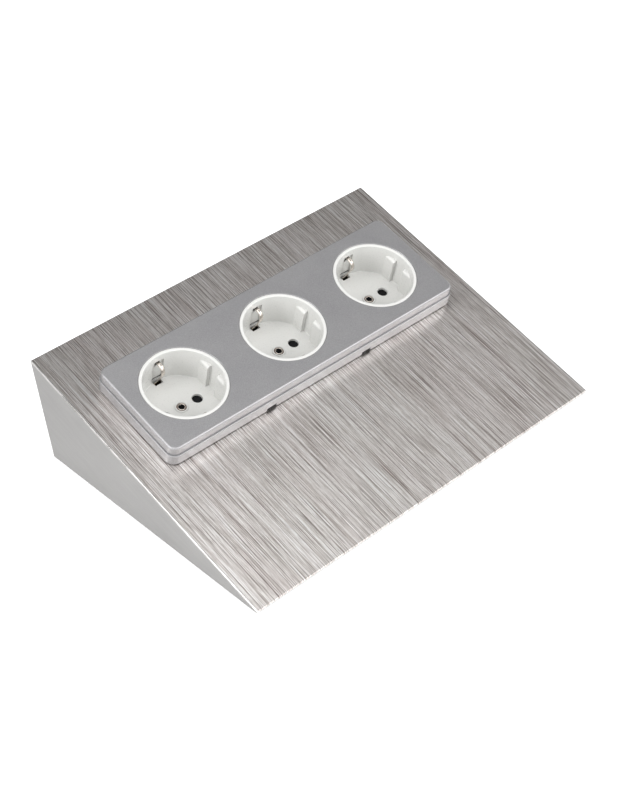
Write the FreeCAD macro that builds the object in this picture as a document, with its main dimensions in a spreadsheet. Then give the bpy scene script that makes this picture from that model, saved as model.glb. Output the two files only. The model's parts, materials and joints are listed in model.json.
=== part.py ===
import FreeCAD, Part
import Sketcher
import math
import os
import re
from FreeCAD import Placement, Rotation, Vector

# A desk socket console: a wedge of folded sheet steel that carries three earthed sockets
# in its sloping top.
# Frame: X to the right, Y from the thin front edge to the back, Z up from the surface it stands on.
# The deck's frame is the same frame tilted about X: x to the right, y up the slope, z out of the panel.

doc = FreeCAD.newDocument("desk_power_strip")
sheet = doc.addObject("Spreadsheet::Sheet", "dims")

DIMENSIONS = [
    ("width", "210", "housing, left to right"),
    ("depth", "157.2", "housing, front to back"),
    ("slope", "19.74", "angle of the top panel, degrees"),
    ("lip", "1.0", "height of the front edge"),
    ("steel", "1.2", "housing sheet"),
    ("bend", "0.9", "outer radius of the folds"),
    ("foot_rise", "1.0", "housing above the desk"),
    ("foot_radius", "6", "rubber feet"),
    ("plate", "1.0", "base plate sheet"),
    ("plate_gap", "0.3", "base plate to housing walls"),
    ("flange", "8", "inward flange of the housing"),
    ("hem", "5", "closed fold along the front edge"),
    ("inlet_flange", "2.4", "inlet flange, proud of the back"),
    ("inlet_x", "30", "inlet centre, to the right"),
    ("inlet_z", "15", "inlet centre, up"),
    ("inlet_half_wide", "25", "inlet flange, half its width"),
    ("inlet_half_high", "11.2", "inlet flange, half its height"),
    ("inlet_screw_x", "20", "inlet screws from its centre"),
    ("inlet_deep", "16.5", "inlet body behind the back face"),
    ("tab_long", "7.9", "push-on tab"),
    ("stud_x", "-30", "earth stud, to the right"),
    ("stud_z", "34", "earth stud, up"),
    ("unit_up", "108.8", "front edge to the sockets, up the slope"),
    ("pitch", "60", "socket to socket"),
    ("cut_wide", "163", "panel cut-out"),
    ("cut_high", "46", "panel cut-out"),
    ("cut_corner", "4", "panel cut-out"),
    ("seal", "0.4", "gasket under the frame"),
    ("base_wide", "178.2", "lower tier"),
    ("base_high", "58.3", "lower tier"),
    ("base_top", "6.4", "lower tier above the panel"),
    ("base_corner", "5", "lower tier"),
    ("base_wall", "2", "lower tier"),
    ("base_floor", "2", "lower tier, top of its floor"),
    ("tier_inset", "0.8", "upper tier inside the lower one"),
    ("tier_gap", "0.15", "shadow line between the tiers"),
    ("frame_top", "11.4", "frame above the panel"),
    ("notch_x", "30", "release notches from the middle"),
    ("notch_wide", "5.8", "release notches"),
    ("notch_high", "2", "release notches"),
    ("rim_radius", "21.07", "socket insert"),
    ("rim_gap", "0.13", "insert to cover"),
    ("rim_top", "11.35", "socket insert above the panel"),
    ("rim_under", "9.6", "underside of the insert's rim"),
    ("bowl_outer", "20.7", "insert wall, outside"),
    ("mouth_radius", "19.4", "insert wall, inside at the mouth"),
    ("floor_radius", "19.2", "insert wall, inside at the floor"),
    ("floor_top", "-7.3", "insert floor below the panel"),
    ("floor_low", "-8.8", "underside of the insert's floor"),
    ("pin_pitch", "19", "between the two live pins"),
    ("pin_hole", "2.6", "pin hole radius"),
    ("rib_x", "16.8", "flat face of the guide ribs"),
    ("rib_inner", "3.2", "guide groove, half its width"),
    ("rib_outer", "9.6", "outer end of the guide ribs"),
    ("rib_top", "7.25", "top of the guide ribs"),
    ("rib_bevel", "1", "bevel on top of the guide ribs"),
    ("boss_radius", "2.95", "collar round the centre screw"),
    ("boss_rise", "0.6", "collar round the centre screw"),
    ("clip_half", "2", "earth clip, half its width"),
    ("blade_half", "1.1", "earth clip above the floor, half its width"),
    ("clip_thick", "0.55", "earth clip strip"),
    ("clip_root", "18.15", "earth clip root from the socket's axis"),
    ("clip_bulge", "14.8", "earth clip contact point from the axis"),
    ("clip_bulge_z", "2.5", "earth clip contact point"),
    ("clip_tip", "19.2", "earth clip tip from the axis"),
    ("clip_tip_z", "6.6", "earth clip tip"),
    ("clip_low", "-14.6", "middle of the earth clip's rolled foot"),
    ("clip_foot", "0.6", "rolled foot of the earth clip, radius"),
    ("disc_radius", "12.9", "shutter"),
    ("disc_low", "-10.7", "shutter underside"),
    ("disc_top", "-9.0", "shutter top"),
    ("disc_turn", "40", "shutter travel, degrees"),
    ("post_radius", "2.6", "pivot post of the carrier"),
    ("post_play", "0.08", "shutter on its post"),
    ("carrier_radius", "17", "contact carrier"),
    ("carrier_low", "-21.3", "contact carrier underside"),
    ("well_radius", "13.2", "shutter recess"),
    ("well_floor", "-10.9", "shutter recess"),
    ("spring_mean", "4.3", "torsion spring"),
    ("spring_wire", "0.25", "torsion spring wire radius"),
    ("strip", "0.7", "contact strip"),
    ("rail_thick", "0.8", "live and neutral rails"),
    ("rail_top", "-18.1", "live and neutral rails"),
    ("rail_y", "9", "live and neutral rails off the axis"),
    ("rail_half", "2.5", "rails, half their width"),
    ("earth_rail_y", "14", "earth rail off the axis"),
    ("box_wide", "176", "back box"),
    ("box_high", "54", "back box"),
    ("box_wall", "1.6", "back box"),
    ("box_low", "-26.2", "back box underside"),
    ("unit_screw_x", "84.6", "unit screws"),
    ("unit_screw_y", "18", "unit screws"),
    ("carrier_screw_x", "15.2", "carrier screws from the socket's axis"),
    ("lead_radius", "1.3", "insulated lead"),
    ("bore_radius", "1.35", "bores that hold a lead"),
    ("plate_screw_x", "99.8", "base plate screws"),
    ("live_x", "23", "live lead, to the right"),
    ("live_y", "-3", "live lead, up the slope"),
    ("neutral_x", "37", "neutral lead, to the right"),
    ("earth_y", "-3", "earth lead, up the slope"),
    # worked out from the sizes above
    ("rise", "=depth * tan(slope)", "height gained by the slope"),
    ("front_y", "=-(depth + inlet_flange) / 2", "front edge"),
    ("back_y", "=front_y + depth", "back panel, outside"),
    ("back_in", "=back_y - steel", "back panel, inside"),
    ("lip_z", "=foot_rise + lip", "top of the front edge"),
    ("top_z", "=lip_z + rise", "top of the back panel"),
    ("plate_top", "=foot_rise + plate", "base plate, inside"),
    ("flange_top", "=plate_top + steel", "housing flange, inside"),
    ("under_drop", "=steel / cos(slope)", "panel thickness, straight down"),
    ("cavity_front", "=front_y + (flange_top - lip_z + under_drop) / tan(slope)", "front of the hollow"),
    ("cavity_back_z", "=lip_z + (back_in - front_y) * tan(slope) - under_drop", "hollow at the back"),
    ("deck_y", "=front_y + unit_up * cos(slope)", "middle of the socket unit"),
    ("deck_z", "=lip_z + unit_up * sin(slope)", "middle of the socket unit"),
    ("cover_low", "=base_top + tier_gap", "underside of the upper tier"),
    ("cover_wide", "=base_wide - 2 * tier_inset", "upper tier"),
    ("cover_high", "=base_high - 2 * tier_inset", "upper tier"),
    ("box_floor", "=box_low + box_wall", "back box, inside"),
    ("inlet_back", "=back_y - inlet_deep", "rear of the inlet body"),
    ("tab_end", "=inlet_back - tab_long", "free end of the push-on tabs"),
    ("inlet_front", "=back_y + inlet_flange", "outer face of the inlet"),
    ("pin_x", "=pin_pitch / 2", "pin from the socket's axis"),
]
ALIASES = {alias for alias, value, meaning in DIMENSIONS}
for row, (alias, value, meaning) in enumerate(DIMENSIONS, 1):
    sheet.set(f"A{row}", meaning)
    sheet.set(f"B{row}", value)
    sheet.setAlias(f"B{row}", alias)
doc.recompute()

SOCKETS = {"left": "-pitch", "middle": "0", "right": "pitch"}
NODES = []


# ---- helpers ----

def formula(text):
    """An expression with the sheet's name put before each of its aliases."""
    return re.sub(r"[a-z_]+", lambda word: f"dims.{word[0]}" if word[0] in ALIASES else word[0], text)


def size(text):
    """What an expression comes to, as a plain number."""
    return float(sheet.evalExpression(formula(text)))


def bind(thing, prop, text):
    thing.setExpression(prop, formula(text))


def piece(name):
    """A body for one named piece, which may be a group of separate solids."""
    made = doc.addObject("PartDesign::Body", name)
    made.Label = name
    made.AllowCompound = True
    NODES.append(made)
    return made


def on_deck(made, x="0"):
    """Stand a piece in the deck's frame, moved x to the right."""
    made.Placement.Rotation = Rotation(Vector(1, 0, 0), size("slope"))
    bind(made, "Placement.Rotation.Angle", "slope")
    bind(made, "Placement.Base.x", x)
    bind(made, "Placement.Base.y", "deck_y")
    bind(made, "Placement.Base.z", "deck_z")
    return made


def deck_piece(name, x="0"):
    return on_deck(piece(name), x)


def block(owner, x, y, z, cut=False):
    """A box between three pairs of places."""
    kind = "Subtractive" if cut else "Additive"
    made = owner.newObject(f"PartDesign::{kind}Box", "block")
    for length, place, (low, high) in (("Length", "x", x), ("Width", "y", y), ("Height", "z", z)):
        bind(made, length, f"({high}) - ({low})")
        bind(made, f"Placement.Base.{place}", low)
    return made


TURNS = {
    "x": Rotation(Vector(0, 1, 0), 90),
    "y": Rotation(Vector(1, 0, 0), -90),
    "z": Rotation(),
}


def rod(owner, radius, centre, span, along="z", cut=False):
    """A cylinder along one axis; centre holds its other two coordinates in X, Y, Z order."""
    kind = "Subtractive" if cut else "Additive"
    made = owner.newObject(f"PartDesign::{kind}Cylinder", "rod")
    low, high = span
    bind(made, "Radius", radius)
    bind(made, "Height", f"({high}) - ({low})")
    made.Placement = Placement(Vector(), TURNS[along])
    others = [axis for axis in "xyz" if axis != along]
    for axis, place in zip(others, centre):
        bind(made, f"Placement.Base.{axis}", place)
    bind(made, f"Placement.Base.{along}", low)
    return made


def hexagon(owner, across, centre, span, along="z"):
    """A hexagonal prism, given across its flats."""
    made = owner.newObject("PartDesign::AdditivePrism", "hexagon")
    low, high = span
    made.Polygon = 6
    bind(made, "Circumradius", f"({across}) / 2 / cos(30)")
    bind(made, "Height", f"({high}) - ({low})")
    made.Placement = Placement(Vector(), TURNS[along])
    others = [axis for axis in "xyz" if axis != along]
    for axis, place in zip(others, centre):
        bind(made, f"Placement.Base.{axis}", place)
    bind(made, f"Placement.Base.{along}", low)
    return made


def sketch(owner, role="XY_Plane", height="0"):
    made = owner.newObject("Sketcher::SketchObject", "outline")
    plane = [feature for feature in owner.Origin.OriginFeatures if feature.Role == role][0]
    made.AttachmentSupport = [(plane, "")]
    made.MapMode = "FlatFace"
    bind(made, "AttachmentOffset.Base.z", height)
    return made


def fix(outline, edge, end, x, y):
    """Tie one point of a sketch to its place."""
    for kind, place in (("DistanceX", x), ("DistanceY", y)):
        if place is None:
            continue
        index = outline.addConstraint(Sketcher.Constraint(kind, -1, 1, edge, end, size(place)))
        bind(outline, f"Constraints[{index}]", place)


def polygon(outline, points):
    first = outline.GeometryCount
    corners = [Vector(size(x), size(y), 0) for x, y in points]
    count = len(points)
    for number in range(count):
        outline.addGeometry(Part.LineSegment(corners[number], corners[(number + 1) % count]))
    for number in range(count):
        following = first + (number + 1) % count
        outline.addConstraint(Sketcher.Constraint("Coincident", first + number, 2, following, 1))
    for number, (x, y) in enumerate(points):
        fix(outline, first + number, 1, x, y)


def circle(outline, radius, x="0", y="0"):
    edge = outline.addGeometry(Part.Circle(Vector(size(x), size(y), 0), Vector(0, 0, 1), size(radius)))
    fix(outline, edge, 3, x, y)
    index = outline.addConstraint(Sketcher.Constraint("Radius", edge, size(radius)))
    bind(outline, f"Constraints[{index}]", radius)


def rounded(outline, half_wide, half_high, corner):
    """A centred rectangle with round corners."""
    across, up, radius = size(half_wide), size(half_high), size(corner)
    first = outline.GeometryCount
    for turn in range(4):
        long, wide = (across, up) if turn % 2 == 0 else (up, across)
        spin = Rotation(Vector(0, 0, 1), 90 * turn)
        start = spin.multVec(Vector(radius - long, -wide, 0))
        finish = spin.multVec(Vector(long - radius, -wide, 0))
        centre = spin.multVec(Vector(long - radius, radius - wide, 0))
        outline.addGeometry(Part.LineSegment(start, finish))
        round_edge = Part.Circle(centre, Vector(0, 0, 1), radius)
        low = math.radians(90 * turn - 90)
        outline.addGeometry(Part.ArcOfCircle(round_edge, low, low + math.pi / 2))
    for turn in range(4):
        line = first + 2 * turn
        outline.addConstraint(Sketcher.Constraint("Tangent", line, 2, line + 1, 1))
        outline.addConstraint(Sketcher.Constraint("Tangent", line + 1, 2, first + (2 * turn + 2) % 8, 1))
        outline.addConstraint(Sketcher.Constraint("Vertical" if turn % 2 else "Horizontal", line))
        if turn:
            outline.addConstraint(Sketcher.Constraint("Equal", first + 1, line + 1))
    index = outline.addConstraint(Sketcher.Constraint("Radius", first + 1, radius))
    bind(outline, f"Constraints[{index}]", corner)
    fix(outline, first, 1, None, f"-({half_high})")
    fix(outline, first + 2, 1, half_wide, None)
    fix(outline, first + 4, 1, None, half_high)
    fix(outline, first + 6, 1, f"-({half_wide})", None)


def pad(owner, outline, length, both=False):
    """Raise a sketch along its normal, or to both sides of it."""
    made = owner.newObject("PartDesign::Pad", "pad")
    made.Profile = outline
    made.Midplane = both
    bind(made, "Length", length)
    return made


def pocket(owner, outline, depth, both=False):
    """Cut a sketch down from its plane, or to both sides of it."""
    made = owner.newObject("PartDesign::Pocket", "pocket")
    made.Profile = outline
    made.Midplane = both
    bind(made, "Length", depth)
    return made


def plate(owner, half_wide, half_high, corner, low, high):
    """A flat plate with round corners between two heights."""
    outline = sketch(owner, height=low)
    rounded(outline, half_wide, half_high, corner)
    pad(owner, outline, f"({high}) - ({low})")


def window(owner, half_wide, half_high, corner, low, high):
    """A rounded opening between two heights."""
    outline = sketch(owner, height=high)
    rounded(outline, half_wide, half_high, corner)
    pocket(owner, outline, f"({high}) - ({low})")


def turned(owner, points):
    """A solid of revolution about the piece's own Z axis, from (radius, height) points."""
    outline = sketch(owner, "XZ_Plane")
    polygon(outline, points)
    made = owner.newObject("PartDesign::Revolution", "turned")
    made.Profile = outline
    made.ReferenceAxis = (outline, ["V_Axis"])
    made.Angle = 360
    return made


def soften(owner, kind, amount, wanted):
    """A fillet or a chamfer on the edges of the tip that are wanted."""
    doc.recompute()
    base = owner.Tip
    names = [f"Edge{number}" for number, edge in enumerate(base.Shape.Edges, 1) if wanted(edge)]
    made = owner.newObject(f"PartDesign::{kind}", kind.lower())
    made.Base = (base, names)
    bind(made, "Radius" if kind == "Fillet" else "Size", amount)
    return made


def middle(edge):
    first, last = edge.ParameterRange
    return edge.valueAt((first + last) / 2)


def signs():
    return [(a, b) for a in ("-", "") for b in ("-", "")]


def around(place, half):
    """A pair of places, half each side of one place."""
    return (f"{place} - ({half})", f"{place} + {half}")


# ---- housing ----

def housing_shell():
    made = piece("housing_shell")
    side = sketch(made, "YZ_Plane")
    polygon(side, [
        ("front_y", "foot_rise"), ("back_y", "foot_rise"), ("back_y", "top_z"), ("front_y", "lip_z"),
    ])
    pad(made, side, "width", both=True)
    soften(made, "Fillet", "bend", lambda edge: middle(edge).z > size("lip_z + 1"))
    hollow = sketch(made, "YZ_Plane")
    polygon(hollow, [
        ("cavity_front", "flange_top"), ("back_in", "flange_top"), ("back_in", "cavity_back_z"),
    ])
    pocket(made, hollow, "width - 2 * steel", both=True)
    inside = "(width / 2 - steel)"
    under = ("foot_rise - 1", "plate_top")
    block(made, (f"-{inside}", inside), ("front_y + hem", "back_in"), under, cut=True)
    inner = f"({inside} - flange)"
    flange_cut = ("plate_top - 1", "flange_top + 0.1")
    block(made, (f"-{inner}", inner), ("front_y + 18", "back_in - flange"), flange_cut, cut=True)
    deck_openings(made)
    back_openings(made)
    for x, y in plate_screw_places():
        rod(made, "1.7", (x, y), flange_cut, cut=True)


def deck_openings(made):
    """The cut-out for the sockets and the four unit screw holes, square to the panel."""
    deck = sketch(made)
    deck.AttachmentOffset = Placement(Vector(), Rotation(Vector(1, 0, 0), size("slope")))
    bind(deck, "AttachmentOffset.Rotation.Angle", "slope")
    bind(deck, "AttachmentOffset.Base.y", "deck_y")
    bind(deck, "AttachmentOffset.Base.z", "deck_z")
    rounded(deck, "cut_wide / 2", "cut_high / 2", "cut_corner")
    for a, b in signs():
        circle(deck, "1.6", f"{a}unit_screw_x", f"{b}unit_screw_y")
    pocket(made, deck, "8", both=True)


def back_openings(made):
    """The inlet's cut-out and screw holes."""
    through = ("back_in - 1", "back_y + 1")
    block(made, around("inlet_x", "13.8"), through, around("inlet_z", "10.1"), cut=True)
    for sign in ("-", "+"):
        rod(made, "1.6", (f"inlet_x {sign} inlet_screw_x", "inlet_z"), through, "y", cut=True)


def plate_screw_places():
    return [(f"{a}plate_screw_x", y) for a in ("-", "") for y in ("front_y + 32", "back_y - 12")]


def base_plate():
    made = piece("base_plate")
    side = "(width / 2 - steel - plate_gap)"
    front_to_back = ("front_y + hem + plate_gap", "back_in - plate_gap")
    block(made, (f"-{side}", side), front_to_back, ("foot_rise", "plate_top"))
    for x, y in plate_screw_places():
        rod(made, "1.6", (x, y), ("foot_rise - 1", "plate_top + 1"), cut=True)


def base_plate_screws():
    made = piece("base_plate_screws")
    for x, y in plate_screw_places():
        rod(made, "2.6", (x, y), ("foot_rise - 0.7", "foot_rise"))
        rod(made, "1.5", (x, y), ("foot_rise - 0.2", "flange_top + 2.3"))
        block(made, around(x, "1.6"), around(y, "0.3"), ("foot_rise - 1", "foot_rise - 0.4"), cut=True)


def flange_nuts():
    made = piece("flange_nuts")
    for x, y in plate_screw_places():
        hexagon(made, "5.5", (x, y), ("flange_top", "flange_top + 2.4"))
    for x, y in plate_screw_places():
        rod(made, "1.53", (x, y), ("flange_top - 1", "flange_top + 3"), cut=True)


def rubber_feet():
    made = piece("rubber_feet")
    for x in ("-84", "84"):
        for y in ("front_y + 26", "back_y - 18"):
            rod(made, "foot_radius", (x, y), ("0", "foot_rise"))


# ---- earth stud on the back panel ----

def earth_stud():
    made = piece("earth_stud")
    rod(made, "3", ("stud_x", "stud_z"), ("back_in - 1", "back_in"), "y")
    rod(made, "2", ("stud_x", "stud_z"), ("back_in - 8", "back_in - 0.5"), "y")


def earth_ring_terminal():
    made = piece("earth_ring_terminal")
    face = ("back_in - 1.8", "back_in - 1")
    rod(made, "4", ("stud_x", "stud_z"), face, "y")
    block(made, around("stud_x", "1.8"), face, ("stud_z - 12", "stud_z - 2.5"))
    rod(made, "1.9", ("stud_x", "back_in - 2.9"), ("stud_z - 16", "stud_z - 9"))
    rod(made, "bore_radius", ("stud_x", "back_in - 2.9"), ("stud_z - 17", "stud_z - 10"), cut=True)
    rod(made, "2.1", ("stud_x", "stud_z"), ("back_in - 5", "back_in"), "y", cut=True)


def earth_washer():
    made = piece("earth_washer")
    rod(made, "4.2", ("stud_x", "stud_z"), ("back_in - 2.4", "back_in - 1.8"), "y")
    rod(made, "2.1", ("stud_x", "stud_z"), ("back_in - 3", "back_in"), "y", cut=True)


def earth_nut():
    made = piece("earth_nut")
    hexagon(made, "7", ("stud_x", "stud_z"), ("back_in - 5.6", "back_in - 2.4"), "y")
    rod(made, "2.05", ("stud_x", "stud_z"), ("back_in - 6", "back_in"), "y", cut=True)


# ---- mains inlet ----

def inlet_body():
    made = piece("inlet_body")
    across = around("inlet_x", "inlet_half_wide")
    block(made, across, ("back_y", "inlet_front"), around("inlet_z", "inlet_half_high"))
    soften(made, "Fillet", "3", lambda edge: edge.BoundBox.YLength > 1)
    block(made, around("inlet_x", "13.5"), ("inlet_back", "back_y + 0.1"), around("inlet_z", "9.8"))
    mouth = sketch(made, "XZ_Plane", "-inlet_front")
    sides = ("inlet_x - 12.2", "inlet_x + 12.2")
    chamfer_x = ("inlet_x - 7.4", "inlet_x + 7.4")
    low, shoulder, high = "inlet_z - 8.4", "inlet_z - 3.6", "inlet_z + 8.4"
    outline = [(sides[0], high), (sides[0], shoulder), (chamfer_x[0], low), (chamfer_x[1], low)]
    polygon(mouth, outline + [(sides[1], shoulder), (sides[1], high)])
    recess = pocket(made, mouth, "inlet_flange + inlet_deep - 2.9")
    recess.Reversed = True
    for x, z in inlet_pin_places().values():
        block(made, around(x, "1"), ("inlet_back - 1", "back_y - 10"), around(z, "2"), cut=True)
    for sign in ("-", "+"):
        centre = (f"inlet_x {sign} inlet_screw_x", "inlet_z")
        rod(made, "1.7", centre, ("back_y - 1", "inlet_front + 1"), "y", cut=True)
        rod(made, "2.9", centre, ("inlet_front - 1.5", "inlet_front + 1"), "y", cut=True)


def inlet_pin_places():
    return {
        "live": ("inlet_x - 7", "inlet_z + 2"),
        "neutral": ("inlet_x + 7", "inlet_z + 2"),
        "earth": ("inlet_x", "inlet_z - 2"),
    }


def inlet_pins():
    for name, (x, z) in inlet_pin_places().items():
        made = piece(f"inlet_{name}_pin")
        block(made, around(x, "1"), ("inlet_back", "back_y"), around(z, "2"))
        block(made, around(x, "0.4"), ("tab_end", "inlet_back + 1"), around(z, "1.9"))


def inlet_screws():
    made = piece("inlet_screws")
    for sign in ("-", "+"):
        x = f"inlet_x {sign} inlet_screw_x"
        rod(made, "2.7", (x, "inlet_z"), ("inlet_front - 1.5", "inlet_front - 0.1"), "y")
        rod(made, "1.5", (x, "inlet_z"), ("back_in - 4", "inlet_front - 1.2"), "y")
        slots = (around(x, "1.6"), around(x, "0.3"))
        heights = (around("inlet_z", "0.3"), around("inlet_z", "1.6"))
        for across, up in zip(slots, heights):
            block(made, across, ("inlet_front - 0.8", "inlet_front"), up, cut=True)


def inlet_nuts():
    made = piece("inlet_nuts")
    centres = [(f"inlet_x {sign} inlet_screw_x", "inlet_z") for sign in ("-", "+")]
    for centre in centres:
        hexagon(made, "5.5", centre, ("back_in - 2.4", "back_in"), "y")
    for centre in centres:
        rod(made, "1.53", centre, ("back_in - 3", "back_in + 1"), "y", cut=True)


def lead_receptacles():
    """Push-on receptacles with a crimp barrel, one on each inlet tab."""
    made = piece("lead_receptacles")
    for x, z in inlet_pin_places().values():
        block(made, around(x, "1.3"), ("tab_end + 0.3", "inlet_back - 0.6"), around(z, "2.7"))
        rod(made, "1.9", (x, z), ("tab_end - 5", "tab_end + 0.5"), "y")
    for x, z in inlet_pin_places().values():
        block(made, around(x, "0.4"), ("tab_end", "inlet_back"), around(z, "1.9"), cut=True)
        rod(made, "bore_radius", (x, z), ("tab_end - 6", "tab_end"), "y", cut=True)


# ---- frame of the socket unit ----

def panel_gasket():
    made = deck_piece("panel_gasket")
    plate(made, "base_wide / 2 - 0.6", "base_high / 2 - 0.6", "base_corner - 0.6", "0", "seal")
    window(made, "cut_wide / 2", "cut_high / 2", "cut_corner", "-1", "seal + 1")
    for a, b in signs():
        rod(made, "1.6", (f"{a}unit_screw_x", f"{b}unit_screw_y"), ("-1", "seal + 1"), cut=True)


def base_frame():
    """The lower tier: an open tray round the cut-out, with two release notches under its front wall."""
    made = deck_piece("base_frame")
    plate(made, "base_wide / 2", "base_high / 2", "base_corner", "seal", "base_top")
    inner = ("base_wide / 2 - base_wall", "base_high / 2 - base_wall", "base_corner - base_wall")
    window(made, *inner, "base_floor", "base_top + 1")
    window(made, "cut_wide / 2", "cut_high / 2", "cut_corner", "-1", "base_floor + 1")
    for a, b in signs():
        rod(made, "1.5", (f"{a}unit_screw_x", f"{b}unit_screw_y"), ("-1", "base_floor + 1"), cut=True)
    for x in ("-notch_x", "notch_x"):
        front = ("-base_high / 2 - 1", "-base_high / 2 + 4")
        block(made, around(x, "notch_wide / 2"), front, ("seal - 1", "seal + notch_high"), cut=True)


def cover_frame():
    """The upper tier: a shallow cap with three round openings and four snap tongues."""
    made = deck_piece("cover_frame")
    half = ("cover_wide / 2", "cover_high / 2")
    plate(made, *half, "base_corner - tier_inset", "cover_low", "frame_top")
    soften(made, "Fillet", "0.7", lambda edge: middle(edge).z > size("frame_top - 0.01"))
    openings = sketch(made, height="frame_top + 1")
    for x in SOCKETS.values():
        circle(openings, "rim_radius + rim_gap", x)
    pocket(made, openings, "frame_top - cover_low + 2")
    under = sketch(made, height="frame_top - 1.85")
    rounded(under, "cover_wide / 2 - 1.6", "cover_high / 2 - 1.6", "base_corner - 2.4")
    for x in SOCKETS.values():
        circle(under, "rim_radius + 1.5", x)
    pocket(made, under, "4")
    near, far = "(base_high / 2 - 3.2)", "(base_high / 2 - 2.2)"
    for x in ("-notch_x", "notch_x"):
        for wall in ((f"-{far}", f"-{near}"), (near, far)):
            block(made, around(x, "3"), wall, ("3.5", "frame_top - 1.5"))


def unit_screws():
    made = deck_piece("unit_screws")
    for a, b in signs():
        x, y = f"{a}unit_screw_x", f"{b}unit_screw_y"
        rod(made, "2.2", (x, y), ("base_floor", "base_floor + 1.4"))
        rod(made, "1.3", (x, y), ("-9", "base_floor + 0.5"))
        block(made, around(x, "1.4"), around(y, "0.3"), ("base_floor + 0.7", "base_floor + 2"), cut=True)
        block(made, around(x, "0.3"), around(y, "1.4"), ("base_floor + 0.7", "base_floor + 2"), cut=True)


def back_box():
    """The closed tray behind the panel that holds everything live."""
    made = deck_piece("back_box")
    plate(made, "box_wide / 2", "box_high / 2", "5", "box_low", "-steel")
    window(made, "box_wide / 2 - box_wall", "box_high / 2 - box_wall", "5 - box_wall", "box_floor", "0")
    for a, b in signs():
        rod(made, "2.9", (f"{a}unit_screw_x", f"{b}unit_screw_y"), ("-12", "-steel"))
    for x in carrier_screw_places():
        rod(made, "2.4", (x, "0"), ("box_floor - 0.5", "carrier_low"))
    for a, b in signs():
        rod(made, "1.34", (f"{a}unit_screw_x", f"{b}unit_screw_y"), ("-10", "0"), cut=True)
    for x in carrier_screw_places():
        rod(made, "0.94", (x, "0"), ("box_floor + 0.3", "0"), cut=True)
    for x, y in lead_places().values():
        rod(made, "lead_radius + 0.4", (x, y), ("box_low - 1", "box_floor + 1"), cut=True)


def carrier_screw_places():
    return [f"{x} {sign} carrier_screw_x" for x in SOCKETS.values() for sign in ("-", "+")]


def lead_places():
    """Where each lead rises through the back box, in the deck's frame."""
    return {
        "live": ("live_x", "live_y"),
        "neutral": ("neutral_x", "-rail_y"),
        "earth": ("inlet_x", "earth_y"),
        "housing_earth": ("stud_x", "earth_rail_y"),
    }


# ---- one socket ----

def socket_insert(side, x):
    made = deck_piece(f"{side}_socket_insert", x)
    turned(made, [
        ("0", "floor_low"), ("bowl_outer", "floor_low"), ("bowl_outer", "rim_under"),
        ("rim_radius", "rim_under"), ("rim_radius", "rim_top - 0.25"), ("rim_radius - 0.25", "rim_top"),
        ("mouth_radius + 0.2", "rim_top"), ("mouth_radius", "rim_top - 0.2"),
        ("floor_radius", "floor_top"), ("0", "floor_top"),
    ])
    ribs = sketch(made, height="floor_top - 0.1")
    corners = [
        ("rib_x", "rib_inner"), ("20", "rib_inner"), ("17.9", "rib_outer"), ("rib_x", "rib_outer"),
    ]
    for a, b in signs():
        polygon(ribs, [(a + x_place, b + y_place) for x_place, y_place in corners])
    pad(made, ribs, "rib_top - floor_top + 0.1")
    soften(made, "Chamfer", "rib_bevel", rib_top_edge)
    rod(made, "boss_radius", ("0", "0"), ("floor_top - 0.1", "floor_top + boss_rise"))
    rod(made, "2.4", ("0", "0"), ("floor_low + 0.6", "floor_top + 2"), cut=True)
    rod(made, "1.5", ("0", "0"), ("floor_low - 1", "floor_top"), cut=True)
    for sign in ("-", ""):
        rod(made, "pin_hole", (f"{sign}pin_x", "0"), ("floor_low - 1", "floor_top + 1"), cut=True)
    clip_clearance(made, front=True)
    clip_clearance(made, front=False)


def rib_top_edge(edge):
    """The inner top edges of the four guide ribs."""
    place = middle(edge)
    straight = edge.BoundBox.YLength > 3 and edge.BoundBox.XLength < 0.01
    on_face = abs(abs(place.x) - size("rib_x")) < 0.01
    return straight and on_face and abs(place.z - size("rib_top")) < 0.01


def clip_clearance(made, front):
    """Behind one earth clip: a shallow pocket, the tip's window, the floor slot and its cross slot."""
    def out(near, far):
        return (f"-({far})", f"-({near})") if front else (near, far)
    tip = ("clip_tip_z - 3.2", "clip_tip_z + 0.6")
    through_floor = ("floor_low - 1", "floor_top + 1")
    cross_slot = ("floor_top + 0.7", "floor_top + 2.2")
    block(made, ("-3.2", "3.2"), out("17", "bowl_outer - 0.7"), ("floor_top", tip[1]), cut=True)
    block(made, around("0", "blade_half + 0.4"), out("19", "23"), tip, cut=True)
    block(made, around("0", "clip_half + 0.25"), out("16.9", "19.8"), through_floor, cut=True)
    block(made, ("-3.7", "3.7"), out("19", "23"), cross_slot, cut=True)


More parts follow.
